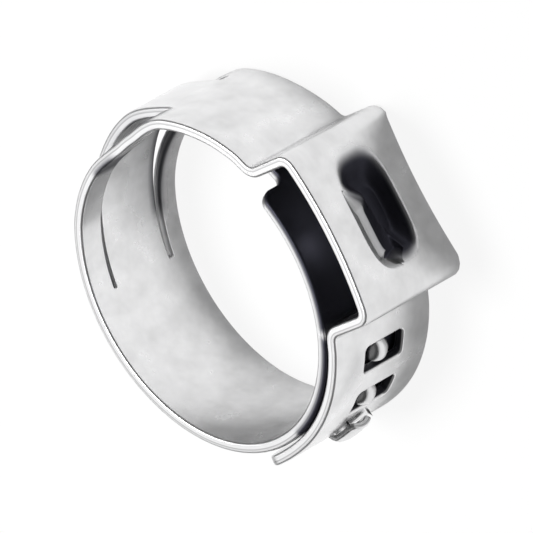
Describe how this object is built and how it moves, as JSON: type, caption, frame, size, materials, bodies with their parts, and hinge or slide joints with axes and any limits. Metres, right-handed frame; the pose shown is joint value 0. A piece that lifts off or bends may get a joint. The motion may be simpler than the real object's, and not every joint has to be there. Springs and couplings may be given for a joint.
{
  "type": "pex clamp",
  "caption": "Stepless pinch clamp for plastic water pipe: one stainless strip wound into a ring, with a raised ear to squeeze and hooks that catch in windows.",
  "frame": {"origin": "on the axis of the bore, in the plane of the rim that the clamp rests on", "axes": "+Z along the axis of the bore, up from the resting rim; the ear stands out at 34.5 degrees from +X towards +Y"},
  "size_m": [0.0213, 0.0194, 0.007],
  "materials": {
    "strip": "satin stainless, brighter along the cut edges"
  },
  "bodies": {
    "root": {"clamp_band": "strip"}
  },
  "joints": []
}
